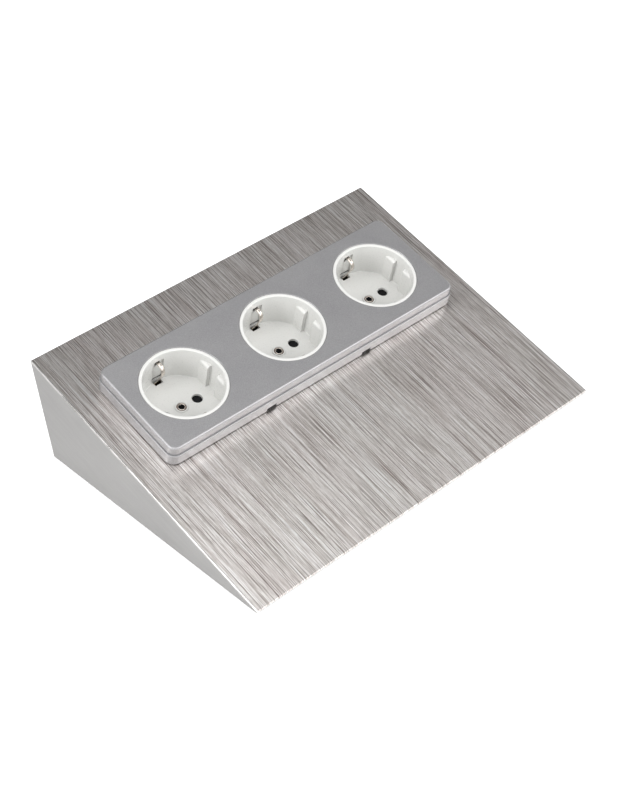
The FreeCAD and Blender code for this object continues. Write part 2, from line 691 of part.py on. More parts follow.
def earth_clip(side, x, end):
    """A sprung strip: up from below the floor, bowed in towards the plug, back out into the wall."""
    made = deck_piece(f"{side}_{end}_earth_clip", x)
    inner = [
        ("clip_root", "clip_low"), ("clip_root", "floor_low + 1.8"),
        ("clip_bulge", "clip_bulge_z - 0.6"), ("clip_bulge", "clip_bulge_z + 0.6"),
        ("clip_tip - 0.4", "clip_tip_z - 0.8"), ("clip_tip + 0.6", "clip_tip_z"),
    ]
    outer = [(f"{place} + clip_thick", height) for place, height in reversed(inner[:-1])]
    sign = "-" if end == "front" else ""
    reach = ("-clip_tip - 2", "-clip_bulge + 1") if sign else ("clip_bulge - 1", "clip_tip + 2")
    profile = sketch(made, "YZ_Plane")
    tip = ("clip_tip + 0.6", "clip_tip_z - clip_thick")
    polygon(profile, [(f"{sign}({place})", height) for place, height in inner + [tip] + outer])
    pad(made, profile, "2 * clip_half", both=True)
    bends = (size("clip_bulge"), size("clip_bulge + clip_thick"))
    soften(made, "Fillet", "0.5", lambda edge: edge.BoundBox.XLength > 3 and any(
        abs(abs(middle(edge).y) - place) < 0.01 for place in bends))
    for across in (("blade_half", "clip_half + 1"), ("-clip_half - 1", "-blade_half")):
        block(made, across, reach, ("floor_top + 0.9", "clip_tip_z + 1"), cut=True)
    foot = (f"{sign}(clip_root + clip_foot)", "clip_low")
    rod(made, "clip_foot", foot, ("-clip_half", "clip_half"), "x")


def shutter(side, x):
    """A turning disc whose two holes come under the pin holes at the end of its travel."""
    made = deck_piece(f"{side}_shutter", x)
    rod(made, "disc_radius", ("0", "0"), ("disc_low", "disc_top"))
    rod(made, "post_radius + post_play", ("0", "0"), ("disc_low - 1", "disc_top + 1"), cut=True)
    for sign in ("-", ""):
        centre = (f"{sign}pin_x * cos(disc_turn)", f"-({sign}pin_x) * sin(disc_turn)")
        rod(made, "3", centre, ("disc_low - 1", "disc_top + 1"), cut=True)
    rod(made, "0.6", ("0", "spring_mean"), ("disc_low - 1", "disc_low + 1"), cut=True)


def shutter_spring(side, x):
    """A torsion spring round the post: its upper end in the shutter, its lower end in the carrier."""
    made = deck_piece(f"{side}_shutter_spring", x)
    ring = sketch(made, "XZ_Plane")
    circle(ring, "spring_wire", "spring_mean", "well_floor - 2")
    coil = made.newObject("PartDesign::AdditiveHelix", "coil")
    coil.Profile = ring
    coil.ReferenceAxis = (ring, ["V_Axis"])
    coil.Mode = 0
    coil.Pitch = 0.65
    coil.Height = 1.95
    rod(made, "spring_wire", ("0", "well_floor - 2"), ("spring_mean", "spring_mean + 1"), "x")
    return made


def contact_carrier(side, x):
    """The moulding under the insert that holds the contacts, the shutter and its spring."""
    made = deck_piece(f"{side}_contact_carrier", x)
    turned(made, [
        ("0", "carrier_low"), ("carrier_radius", "carrier_low"), ("carrier_radius", "floor_low"),
        ("well_radius", "floor_low"), ("well_radius", "well_floor"), ("5.6", "well_floor"),
        ("5.6", "well_floor - 2.4"), ("3.1", "well_floor - 2.4"), ("3.1", "well_floor"),
        ("post_radius", "well_floor"), ("post_radius", "floor_low"), ("0", "floor_low"),
    ])
    rod(made, "1.34", ("0", "0"), ("-18.6", "0"), cut=True)
    strap_high = ("rail_top - 0.2", "rail_top + strip + 0.2")
    rail_high = ("carrier_low - 1", "rail_top")
    for sign in ("-", ""):
        pin = f"{sign}pin_x"
        block(made, around(pin, "3.3"), ("-3", "3"), ("rail_top", "0"), cut=True)
        strap = ("-rail_y - 2.9", "3") if sign else ("-3", "rail_y + 2.9")
        block(made, around(pin, "2.3"), strap, strap_high, cut=True)
        rail = around(f"{sign}rail_y", "rail_half + 0.2")
        block(made, ("-20", "20"), rail, rail_high, cut=True)
        screw = (f"{sign}carrier_screw_x", "0")
        rod(made, "1.0", screw, ("carrier_low - 1", "0"), cut=True)
        rod(made, "1.6", screw, ("floor_low - 1.4", "0"), cut=True)


def contact(side, x, name):
    """A U of spring brass round one pin, with a strap out to its rail."""
    made = deck_piece(f"{side}_{name}_contact", x)
    sign = "" if name == "live" else "-"
    pin = f"{sign}pin_x"
    top = "rail_top + strip"
    block(made, around(pin, "2.9"), ("-2.5", "2.5"), ("rail_top", top))
    for low, high in ((f"{pin} - 2.9", f"{pin} - 2.3"), (f"{pin} + 2.3", f"{pin} + 2.9")):
        block(made, (low, high), ("-2.5", "2.5"), (f"{top} - 0.1", "well_floor - 0.6"))
    strap = ("2.4", "rail_y + 2") if name == "live" else ("-rail_y - 2", "-2.4")
    block(made, around(pin, "2"), strap, ("rail_top", top))


def earth_bridge(side, x):
    """A U of brass under the carrier that joins the two earth clips."""
    made = deck_piece(f"{side}_earth_bridge", x)
    block(made, ("-3", "3"), ("-clip_root", "clip_root"), ("carrier_low - 0.8", "carrier_low"))
    for low, high in (("-clip_root", "-clip_root + 0.8"), ("clip_root - 0.8", "clip_root")):
        block(made, ("-clip_half", "clip_half"), (low, high), ("carrier_low - 0.4", "-11.5"))


def centre_screws():
    """The screw in the middle of each socket: head in its collar, shank in the carrier's post."""
    made = deck_piece("centre_screws")
    for x in SOCKETS.values():
        rod(made, "2.3", (x, "0"), ("floor_low + 0.6", "floor_top + 0.4"))
        rod(made, "1.3", (x, "0"), ("-18", "floor_low + 1"))
        recess = ("floor_top - 0.5", "floor_top + 1")
        block(made, around(x, "1.3"), ("-0.35", "0.35"), recess, cut=True)
        block(made, around(x, "0.35"), ("-1.3", "1.3"), recess, cut=True)


def carrier_screws():
    made = deck_piece("carrier_screws")
    for x in carrier_screw_places():
        rod(made, "1.5", (x, "0"), ("floor_low - 1.4", "floor_low - 0.2"))
        rod(made, "0.9", (x, "0"), ("box_floor + 0.8", "floor_low - 1"))
        block(made, around(x, "1.0"), ("-0.2", "0.2"), ("floor_low - 0.7", "floor_low"), cut=True)


# ---- rails, terminals and leads ----

def rails():
    thick = ("rail_top - rail_thick", "rail_top")
    live = deck_piece("live_rail")
    block(live, ("-pitch + pin_x - 4", "pitch + pin_x + 4"), around("rail_y", "rail_half"), thick)
    block(live, around("live_x", "rail_half"), ("live_y - rail_half", "rail_y"), thick)
    neutral = deck_piece("neutral_rail")
    neutral_long = ("-pitch - pin_x - 4", "pitch - pin_x + 4")
    block(neutral, neutral_long, around("-rail_y", "rail_half"), thick)
    earth = deck_piece("earth_rail")
    flat = ("carrier_low - 1.6", "carrier_low - 0.8")
    block(earth, ("-pitch - 3", "pitch + 3"), around("earth_rail_y", "2"), flat)
    block(earth, around("inlet_x", "rail_half"), ("earth_y - rail_half", "earth_rail_y"), flat)
    for name in ("earth", "housing_earth"):
        x, y = lead_places()[name]
        rod(earth, "bore_radius", (x, y), ("box_low", "carrier_low"), cut=True)


def terminal_spans():
    """The height of each clamp block: under the live and neutral rails, on top of the earth rail."""
    hanging = ("rail_top - rail_thick - 4.4", "rail_top - rail_thick")
    standing = ("carrier_low - 0.8", "carrier_low + 4")
    return {"live": hanging, "neutral": hanging, "earth": standing, "housing_earth": standing}


def rail_terminals():
    made = deck_piece("rail_terminals")
    for name, span in terminal_spans().items():
        x, y = lead_places()[name]
        block(made, around(x, "2.5"), around(y, "2.5"), span)
    for name, (low, high) in terminal_spans().items():
        x, y = lead_places()[name]
        rod(made, "bore_radius", (x, y), (f"{low} - 0.1", f"{high} - 0.6"), cut=True)
        rod(made, "0.9", (y, f"({low} + {high}) / 2"), (f"{x} - 3", x), "x", cut=True)


def terminal_screws():
    made = deck_piece("terminal_screws")
    for name, (low, high) in terminal_spans().items():
        x, y = lead_places()[name]
        centre = (y, f"({low} + {high}) / 2")
        rod(made, "1.4", centre, (f"{x} - 3.5", f"{x} - 2.5"), "x")
        rod(made, "0.85", centre, (f"{x} - 2.6", f"{x} - 1.4"), "x")


def deck_point(x, y, z):
    """A point of the deck's frame, in the frame of the whole console."""
    turn = Rotation(Vector(1, 0, 0), size("slope"))
    return turn.multVec(Vector(0, size(y), size(z))) + Vector(size(x), size("deck_y"), size("deck_z"))


def lead(name, points):
    """An insulated lead: straight runs joined by tangent arcs, as large as its shorter run allows."""
    radius = size("lead_radius")
    edges, start = [], points[0]
    for before, corner, after in zip(points, points[1:], points[2:]):
        back, onward = (before - corner), (after - corner)
        run = min(back.Length, onward.Length)
        back.normalize()
        onward.normalize()
        half_turn = (math.pi - back.getAngle(onward)) / 2
        cut = 0.45 * run
        bend = cut / math.tan(half_turn)
        first, last = corner + back * cut, corner + onward * cut
        inward = (back + onward).normalize()
        centre_gap = math.hypot(bend, cut)
        crown = corner + inward * (centre_gap - bend)
        edges += [Part.LineSegment(start, first).toShape(), Part.Arc(first, crown, last).toShape()]
        start = last
        print(f"{name}: bend radius {bend:.1f}")
    edges.append(Part.LineSegment(start, points[-1]).toShape())
    length = sum(edge.Length for edge in edges)
    path = Part.Wire(edges)
    direction = (points[1] - points[0]).normalize()
    ring = Part.Wire([Part.Circle(points[0], direction, radius).toShape()])
    solid = path.makePipeShell([ring], True, False)
    whole = math.pi * radius ** 2 * length
    print(f"{name}: length {length:.1f}, volume {solid.Volume:.1f} of {whole:.1f}")
    made = doc.addObject("Part::Feature", name)
    made.Label = name
    made.Shape = solid
    made.Placement = Placement()
    NODES.append(made)


def leads():
    """Each lead lies in one upright plane, from the inlet or the stud to its terminal."""
    for name in ("live", "neutral", "earth"):
        pin_x, pin_z = inlet_pin_places()[name]
        x, y = lead_places()[name]
        terminal_top = terminal_spans()[name][1]
        turn_point = deck_point(x, y, "-34.6")
        x_place, z_place, tab = size(x), size(pin_z), size("tab_end")
        start = Vector(x_place, tab - 0.2, z_place)
        onward = Vector(x_place, tab - 7.5, z_place)
        end = deck_point(x, y, f"{terminal_top} - 0.9")
        lead(f"{name}_lead", [start, onward, turn_point, end])
    x, y = lead_places()["housing_earth"]
    terminal_top = terminal_spans()["housing_earth"][1]
    drop = size("back_in - 2.9")
    foot = deck_point(x, y, "-39.5")
    start = Vector(foot.x, drop, size("stud_z - 10.3"))
    corner = Vector(foot.x, drop, foot.z)
    end = deck_point(x, y, f"{terminal_top} - 0.9")
    lead("housing_earth_lead", [start, corner, foot, end])


# ---- build ----

def build():
    housing_shell()
    base_plate()
    base_plate_screws()
    flange_nuts()
    rubber_feet()
    earth_stud()
    earth_ring_terminal()
    earth_washer()
    earth_nut()
    inlet_body()
    inlet_pins()
    inlet_screws()
    inlet_nuts()
    lead_receptacles()
    panel_gasket()
    base_frame()
    cover_frame()
    unit_screws()
    back_box()
    for side, x in SOCKETS.items():
        socket_insert(side, x)
        contact_carrier(side, x)
        shutter(side, x)
        shutter_spring(side, x)
        contact(side, x, "live")
        contact(side, x, "neutral")
        earth_bridge(side, x)
        earth_clip(side, x, "front")
        earth_clip(side, x, "rear")
    centre_screws()
    carrier_screws()
    rails()
    rail_terminals()
    terminal_screws()
    leads()
    doc.recompute()


def check():
    """Stop on any failed object, empty shape or cut that took nothing away."""
    for thing in doc.Objects:
        if "Invalid" in thing.State or "Error" in thing.State:
            raise RuntimeError(f"{thing.Label} failed: {thing.State}")
    for node in NODES:
        if node.Shape.isNull() or not node.Shape.isValid() or not node.Shape.Solids:
            raise RuntimeError(f"{node.Label} has no valid shape")
        volume = 0
        for feature in getattr(node, "Group", []):
            kind = feature.TypeId
            cutter = kind.startswith("PartDesign::Subtractive") or kind == "PartDesign::Pocket"
            if cutter and feature.Shape.Volume > volume - 1e-4:
                raise RuntimeError(f"{node.Label}: {feature.Name} cuts nothing")
            if kind.startswith("PartDesign::"):
                volume = feature.Shape.Volume


def export():
    os.makedirs("parts", exist_ok=True)
    for node in NODES:
        node.Shape.exportStep(f"parts/{node.Label}.step")
    print(f"{len(NODES)} nodes")


build()
check()
export()
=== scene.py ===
import json
import math

import bmesh
import bpy
from mathutils import Matrix, Vector


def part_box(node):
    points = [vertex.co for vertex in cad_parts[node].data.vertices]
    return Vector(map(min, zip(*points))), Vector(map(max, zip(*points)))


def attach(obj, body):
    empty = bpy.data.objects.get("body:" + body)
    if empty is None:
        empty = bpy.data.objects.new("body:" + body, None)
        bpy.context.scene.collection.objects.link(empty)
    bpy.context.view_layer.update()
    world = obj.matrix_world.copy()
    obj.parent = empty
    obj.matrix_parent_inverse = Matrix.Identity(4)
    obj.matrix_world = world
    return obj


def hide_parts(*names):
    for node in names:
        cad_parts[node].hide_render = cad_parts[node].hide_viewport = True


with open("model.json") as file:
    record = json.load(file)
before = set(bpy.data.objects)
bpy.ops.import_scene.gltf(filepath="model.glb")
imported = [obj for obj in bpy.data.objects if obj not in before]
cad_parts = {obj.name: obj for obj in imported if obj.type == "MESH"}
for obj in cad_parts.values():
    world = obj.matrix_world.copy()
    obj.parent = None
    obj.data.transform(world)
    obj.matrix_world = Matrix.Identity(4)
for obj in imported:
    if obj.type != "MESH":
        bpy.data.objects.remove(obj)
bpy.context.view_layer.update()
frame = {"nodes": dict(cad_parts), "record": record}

# Shapes are made in millimetres. MM takes the part's own frame to metres, and DECK the sloping panel's:
# x to the right, y up the slope, z out of the panel, from the middle socket's axis.
MM = Matrix.Scale(0.001, 4)
MOUNTS = {mount["name"]: mount for mount in frame["record"]["mounts"]}
RIM_TOP = 11.35
ACROSS = Vector((1, 0, 0))
NORMAL = Vector(MOUNTS["middle_socket"]["axis"]).normalized()
UPSLOPE = NORMAL.cross(ACROSS)
SLOPE = math.atan2(UPSLOPE.z, UPSLOPE.y)
DECK_ORIGIN = 1000 * Vector(MOUNTS["middle_socket"]["pos_m"]) - RIM_TOP * NORMAL
TILT = Matrix.Translation(DECK_ORIGIN) @ Matrix.Rotation(SLOPE, 4, "X")
DECK = MM @ TILT
SOCKETS = {"left": -60, "middle": 0, "right": 60}

SHELL_LOW, SHELL_HIGH = (1000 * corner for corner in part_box("housing_shell"))
FRONT, BACK = SHELL_LOW.y, SHELL_HIGH.y
HALF = SHELL_HIGH.x
STEEL = 1.2
PLATE = 1.0
FRONT_LIP = 1.0
HEM = 5
FLANGE = 8

# rounded plates: half width, half height, corner radius
CUT_OUT = (81.5, 23, 4)
LOWER_TIER = (89.1, 29.15, 5)
UPPER_TIER = (88.3, 28.35, 4.2)
# heights above the panel
SEAL = 0.4
LOWER_TOP = 6.4
UPPER_LOW = 6.55
FRAME_TOP = 11.4
# release notches and snap tongues, from the middle
NOTCH_X = 30

RIM_RADIUS = 21.07
RIM_UNDER = 9.6
BOWL_OUTER = 20.7
MOUTH_RADIUS = 19.4
FLOOR_RADIUS = 19.2
FLOOR_TOP = -7.3
FLOOR_LOW = -8.8
PIN_X = 9.5
PIN_HOLE = 2.6

INLET_X, INLET_Z = 30, 15
INLET_DEEP = 16.5
INLET_SCREW_X = 20
FOOT_RADIUS = 6


# ---- camera ----

def make_camera():
    """The photograph's camera, found from the housing's corners and the three rims."""
    data = bpy.data.cameras.new("camera")
    data.lens = 70.81
    data.sensor_width = 36
    data.clip_start = 0.01
    camera = bpy.data.objects.new("camera", data)
    right = Vector((0.751107, -0.653273, -0.095256))
    up = Vector((0.451597, 0.403170, 0.795936))
    turn = Matrix((right, up, right.cross(up))).transposed().to_4x4()
    place = Matrix.Translation((-0.36902, -0.48571, 0.47019))
    camera.matrix_world = place @ turn
    bpy.context.scene.collection.objects.link(camera)
    bpy.context.scene.camera = camera


# ---- materials ----

def node(tree, kind, **settings):
    made = tree.nodes.new("ShaderNode" + kind)
    for name, value in settings.items():
        setattr(made, name, value)
    return made


def link(tree, start, end):
    tree.links.new(start, end)


def noise(tree, scale, detail=2.0, rough=0.5, turn=0.0, shift=(0, 0, 0)):
    """Noise in the part's own coordinates, turned about X and then stretched by scale."""
    place = node(tree, "TexCoord")
    rotated = node(tree, "Mapping")
    rotated.inputs["Rotation"].default_value = (turn, 0, 0)
    stretched = node(tree, "Mapping")
    stretched.inputs["Scale"].default_value = scale
    stretched.inputs["Location"].default_value = shift
    made = node(tree, "TexNoise")
    made.inputs["Scale"].default_value = 1
    made.inputs["Detail"].default_value = detail
    made.inputs["Roughness"].default_value = rough
    link(tree, place.outputs["Object"], rotated.inputs["Vector"])
    link(tree, rotated.outputs["Vector"], stretched.inputs["Vector"])
    link(tree, stretched.outputs["Vector"], made.inputs["Vector"])
    return made.outputs["Fac"]


def ramp(tree, factor, stops):
    """Colours at places along a factor."""
    made = node(tree, "ValToRGB")
    points = made.color_ramp.elements
    while len(points) < len(stops):
        points.new(0.5)
    for point, (place, colour) in zip(points, stops):
        point.position = place
        point.color = (*colour, 1)
    link(tree, factor, made.inputs["Fac"])
    return made.outputs["Color"]


def spread(tree, factor, low, high):
    """The middle of a noise's range, spread between two values."""
    made = node(tree, "MapRange")
    for name, value in (("From Min", 0.3), ("From Max", 0.7), ("To Min", low), ("To Max", high)):
        made.inputs[name].default_value = value
    link(tree, factor, made.inputs["Value"])
    return made.outputs["Result"]


def multiply(tree, first, second):
    """Two colours multiplied; sockets 6, 7 and 2 are the Mix node's colour ones."""
    made = node(tree, "Mix", data_type="RGBA", blend_type="MULTIPLY")
    made.inputs["Factor"].default_value = 1
    link(tree, first, made.inputs[6])
    link(tree, second, made.inputs[7])
    return made.outputs[2]


def relief(tree, bsdf, height, strength, distance, edge=0.0):
    """Bump over edges that the Bevel node rounds a little."""
    made = node(tree, "Bump")
    made.inputs["Strength"].default_value = strength
    made.inputs["Distance"].default_value = distance
    link(tree, height, made.inputs["Height"])
    if edge:
        soft = node(tree, "Bevel", samples=4)
        soft.inputs["Radius"].default_value = edge
        link(tree, soft.outputs["Normal"], made.inputs["Normal"])
    link(tree, made.outputs["Normal"], bsdf.inputs["Normal"])


def material(called, **fixed):
    """A new material whose shader sockets are set by name, such as coat_weight."""
    made = bpy.data.materials.new(called)
    made.use_nodes = True
    bsdf = made.node_tree.nodes["Principled BSDF"]
    sockets = {socket.name.lower().replace(" ", "_"): socket for socket in bsdf.inputs}
    for name, value in fixed.items():
        sockets[name].default_value = value
    return made, made.node_tree, bsdf


def shade(colour, amount):
    return tuple(min(1.0, part * amount) for part in colour)


def grained(name, colour, rough, scale, swing=0.06, bump=0.05, edge=0.0, cloud=0.03, **fixed):
    """A surface with fine grain in colour, gloss and relief, and a faint cloud over it."""
    made, tree, bsdf = material(name, **fixed)
    fine = noise(tree, scale, detail=3)
    wide = noise(tree, (40, 40, 40), detail=2)
    grain = ramp(tree, fine, [(0.3, shade(colour, 1 - swing)), (0.7, shade(colour, 1 + swing))])
    haze = ramp(tree, wide, [(0.35, (1 - 2 * cloud,) * 3), (0.65, (1, 1, 1))])
    link(tree, multiply(tree, grain, haze), bsdf.inputs["Base Color"])
    link(tree, spread(tree, fine, rough - 0.04, rough + 0.04), bsdf.inputs["Roughness"])
    relief(tree, bsdf, fine, bump, 0.0001, edge)
    return made


def brushed_steel():
    """Stainless sheet: fine scratches down the slope, wider fainter bands and faintly tinted patches."""
    made, tree, bsdf = material("brushed_steel", metallic=1.0, anisotropic=0.75, anisotropic_rotation=0.25)
    grain = noise(tree, (3600, 190, 190), turn=-SLOPE)
    scratches = noise(tree, (2900, 26, 26), detail=3, rough=0.55, turn=-SLOPE, shift=(3, 7, 1))
    softer = noise(tree, (1200, 15, 15), turn=-SLOPE, shift=(1, 4, 8))
    bands = noise(tree, (260, 8, 8), turn=-SLOPE, shift=(9, 2, 4))
    patches = noise(tree, (40, 16, 16), turn=-SLOPE, shift=(5, 5, 5))
    streaks = ramp(tree, scratches, [
        (0.37, (0.32, 0.285, 0.27)), (0.45, (0.70, 0.67, 0.65)),
        (0.54, (0.90, 0.88, 0.865)), (0.61, (1.0, 1.0, 1.0)),
    ])
    for factor, stops in (
        (grain, [(0.36, (0.72, 0.70, 0.69)), (0.54, (1, 1, 1))]),
        (softer, [(0.38, (0.86, 0.84, 0.83)), (0.48, (0.97, 0.965, 0.96)), (0.58, (1, 1, 1))]),
        (bands, [(0.35, (0.93, 0.92, 0.915)), (0.65, (1, 1, 1))]),
        (patches, [(0.38, (1.0, 0.985, 0.98)), (0.62, (0.98, 0.98, 0.97))]),
    ):
        streaks = multiply(tree, streaks, ramp(tree, factor, stops))
    link(tree, streaks, bsdf.inputs["Base Color"])
    link(tree, spread(tree, scratches, 0.46, 0.32), bsdf.inputs["Roughness"])
    along = node(tree, "Tangent", direction_type="RADIAL", axis="X")
    link(tree, along.outputs["Tangent"], bsdf.inputs["Tangent"])
    relief(tree, bsdf, scratches, 0.25, 0.00004)
    return made


def satin_steel():
    """The housing's sides and lower faces: an even satin grey with a trace of the grain, its base darker than
    the panel's steel as painted shade.
    """
    made, tree, bsdf = material("satin_steel", metallic=1.0)
    grain = noise(tree, (900, 60, 900), detail=3, turn=-SLOPE)
    cloud = noise(tree, (18, 18, 18), detail=2)
    # painted shade: the satin finish is the sides' own, the base much darker than the panel's is not
    base = ramp(tree, grain, [(0.3, (0.325, 0.32, 0.315)), (0.7, (0.37, 0.365, 0.36))])
    haze = ramp(tree, cloud, [(0.35, (0.93, 0.93, 0.93)), (0.65, (1, 1, 1))])
    link(tree, multiply(tree, base, haze), bsdf.inputs["Base Color"])
    link(tree, spread(tree, grain, 0.46, 0.54), bsdf.inputs["Roughness"])
    relief(tree, bsdf, grain, 0.08, 0.00004, 0.0002)
    return made


def rubbed_edge():
    """The folds: a copy of the steel, its colour set and its roughness lowered for the bright line along each
    fold, a painted highlight.
    """
    made, tree, bsdf = material("rubbed_edge", metallic=1.0)
    grain = noise(tree, (900, 90, 900), detail=3, turn=-SLOPE)
    base = ramp(tree, grain, [(0.35, (0.34, 0.33, 0.32)), (0.65, (0.56, 0.55, 0.54))])
    link(tree, base, bsdf.inputs["Base Color"])
    link(tree, spread(tree, grain, 0.24, 0.34), bsdf.inputs["Roughness"])
    relief(tree, bsdf, grain, 0.1, 0.00004)
    return made


def frame_lacquer():
    """Metallic grey lacquer: fine bright flakes in a satin coat."""
    made, tree, bsdf = material("frame_grey", metallic=0.6, coat_weight=0.25, coat_roughness=0.18)
    flakes = noise(tree, (2600, 2600, 2600), detail=3, rough=0.7)
    cloud = noise(tree, (60, 60, 60), detail=2)
    speckle = ramp(tree, flakes, [
        (0.28, (0.31, 0.307, 0.312)), (0.5, (0.375, 0.371, 0.378)), (0.72, (0.47, 0.466, 0.474)),
    ])
    haze = ramp(tree, cloud, [(0.35, (0.95, 0.95, 0.955)), (0.65, (1, 1, 1))])
    link(tree, multiply(tree, speckle, haze), bsdf.inputs["Base Color"])
    link(tree, spread(tree, flakes, 0.36, 0.46), bsdf.inputs["Roughness"])
    relief(tree, bsdf, flakes, 0.12, 0.00003, 0.00015)
    return made


def striped_insulation():
    """Green insulation with a yellow stripe that winds round it."""
    made, tree, bsdf = material("earth_insulation", roughness=0.45)
    place = node(tree, "TexCoord")
    wave = node(tree, "TexWave", wave_type="BANDS", bands_direction="DIAGONAL")
    wave.inputs["Scale"].default_value = 160
    wave.inputs["Distortion"].default_value = 0.4
    link(tree, place.outputs["Object"], wave.inputs["Vector"])
    stripes = ramp(tree, wave.outputs["Fac"], [(0.48, (0.06, 0.26, 0.05)), (0.56, (0.75, 0.60, 0.05))])
    link(tree, stripes, bsdf.inputs["Base Color"])
    relief(tree, bsdf, noise(tree, (900, 900, 900)), 0.05, 0.0001)
    return made


def make_materials():
    """One material for each of the record's slots, and two more for the housing's sides and folds, which
    carry painted shade and a painted highlight.
    """
    fine = (1400, 1400, 1400)
    coarse = (200, 200, 200)
    moulded = (1800, 1800, 1800)
    leathery = (2200, 2200, 2200)
    rolled = (120, 1800, 1800)
    made = {
        "brushed_steel": brushed_steel(),
        "satin_steel": satin_steel(),
        "rubbed_edge": rubbed_edge(),
        "frame_grey": frame_lacquer(),
        "earth_insulation": striped_insulation(),
    }
    for name, colour, rough, scale, more in (
        ("white_insert", (0.67, 0.67, 0.65), 0.30, fine, {
            "swing": 0.005, "bump": 0.015, "edge": 0.0003, "cloud": 0.01,
            "coat_weight": 0.15, "coat_roughness": 0.12, "specular_ior_level": 0.45}),
        ("nickel_brass", (0.78, 0.72, 0.66), 0.20, rolled, {"bump": 0.06, "edge": 0.0001, "metallic": 1.0}),
        ("tinned_brass", (0.72, 0.72, 0.70), 0.30, rolled, {"bump": 0.06, "metallic": 1.0}),
        ("brass", (0.80, 0.60, 0.30), 0.28, rolled, {"bump": 0.06, "metallic": 1.0}),
        ("spring_steel", (0.55, 0.55, 0.56), 0.28, fine, {"metallic": 1.0}),
        ("zinc_steel", (0.64, 0.64, 0.62), 0.32, fine, {"swing": 0.10, "edge": 0.0001, "metallic": 1.0}),
        ("zinc_sheet", (0.58, 0.60, 0.62), 0.42, coarse, {
            "swing": 0.14, "bump": 0.03, "cloud": 0.08, "metallic": 1.0}),
        ("black_rubber", (0.022, 0.022, 0.023), 0.75, moulded, {"swing": 0.2, "bump": 0.25, "edge": 0.0003}),
        ("black_plastic", (0.022, 0.022, 0.024), 0.42, leathery, {
            "swing": 0.15, "bump": 0.20, "edge": 0.0003}),
        ("grey_plastic", (0.27, 0.28, 0.29), 0.45, fine, {"bump": 0.10, "edge": 0.0003}),
        # dark_plastic is nearly black with a weak specular: on the shutters under the pin holes that is
        # partly their own dark grey and partly painted shade of the deep holes
        ("dark_plastic", (0.008, 0.008, 0.009), 0.6, fine, {
            "swing": 0.08, "bump": 0.08, "edge": 0.0002, "specular_ior_level": 0.15}),
        ("brown_insulation", (0.10, 0.045, 0.025), 0.42, fine, {}),
        ("blue_insulation", (0.03, 0.12, 0.42), 0.42, fine, {}),
    ):
        made[name] = grained(name, colour, rough, scale, **more)
    return made


# ---- mesh helpers ----

def rounded_loop(half_wide, half_high, corner, height):
    """Points round a centred rectangle with round corners, at one height."""
    steps = 10
    points = []
    for quarter, (a, b) in enumerate(((1, 1), (-1, 1), (-1, -1), (1, -1))):
        centre = Vector((a * (half_wide - corner), b * (half_high - corner), height))
        for step in range(steps + 1):
            angle = math.pi / 2 * (quarter + step / steps)
            points.append(centre + corner * Vector((math.cos(angle), math.sin(angle), 0)))
    return points


def loft(loops):
    """A capped mesh through loops of the same length."""
    bm = bmesh.new()
    rings = [[bm.verts.new(point) for point in loop] for loop in loops]
    for below, above in zip(rings, rings[1:]):
        count = len(below)
        for number in range(count):
            after = (number + 1) % count
            bm.faces.new((below[number], below[after], above[after], above[number]))
    bm.faces.new(list(reversed(rings[0])))
    bm.faces.new(rings[-1])
    bmesh.ops.remove_doubles(bm, verts=bm.verts, dist=1e-5)
    bmesh.ops.recalc_face_normals(bm, faces=bm.faces)
    return bm


def slab(half_wide, half_high, corner, profile):
    """A rounded plate; profile holds (inset, height) pairs from the bottom to the top."""
    return loft([
        rounded_loop(half_wide - inset, half_high - inset, corner - inset, height)
        for inset, height in profile
    ])


def turned(profile, steps=96):
    """A solid of revolution about z from (radius, height) pairs, which may start and end on the axis."""
    bm = bmesh.new()
    rings = []
    for number in range(steps):
        angle = 2 * math.pi * number / steps
        rings.append([bm.verts.new((r * math.cos(angle), r * math.sin(angle), z)) for r, z in profile])
    for number, ring in enumerate(rings):
        after = rings[(number + 1) % steps]
        for low in range(len(profile) - 1):
            bm.faces.new((ring[low], after[low], after[low + 1], ring[low + 1]))
    bmesh.ops.remove_doubles(bm, verts=bm.verts, dist=1e-5)
    bmesh.ops.dissolve_degenerate(bm, edges=bm.edges, dist=1e-5)
    bmesh.ops.recalc_face_normals(bm, faces=bm.faces)
    return bm


def arc(centre, radius, start, end, steps=6):
    """Points of an arc in a profile, angles in degrees."""
    points = []
    for step in range(steps + 1):
        angle = math.radians(start + (end - start) * step / steps)
        points.append((centre[0] + radius * math.cos(angle), centre[1] + radius * math.sin(angle)))
    return points


def brick(low, high, bevel=0.0, segments=2):
    """A box between two corners, with its edges rounded if bevel is given."""
    bm = bmesh.new()
    bmesh.ops.create_cube(bm, size=1)
    low, high = Vector(low), Vector(high)
    for vert in bm.verts:
        vert.co = (low + high) / 2 + vert.co * (high - low)
    if bevel:
        bmesh.ops.bevel(bm, geom=bm.edges[:], offset=bevel, segments=segments, profile=0.5, affect="EDGES")
    return bm


def prism(outline, low, high, axis="z"):
    """An outline raised between two heights along z, or along x from (y, z) points."""
    def put(point, height):
        return Vector((height, *point)) if axis == "x" else Vector((*point, height))
    return loft([[put(point, low) for point in outline], [put(point, high) for point in outline]])


def moved(bm, matrix):
    bm.transform(matrix)
    return bm


def at(x, y, z=0):
    return Matrix.Translation((x, y, z))


def joined(parts):
    """One mesh from several, which are used up."""
    whole = bmesh.new()
    for part in parts:
        mesh = bpy.data.meshes.new("part")
        part.to_mesh(mesh)
        part.free()
        whole.from_mesh(mesh)
        bpy.data.meshes.remove(mesh)
    return whole


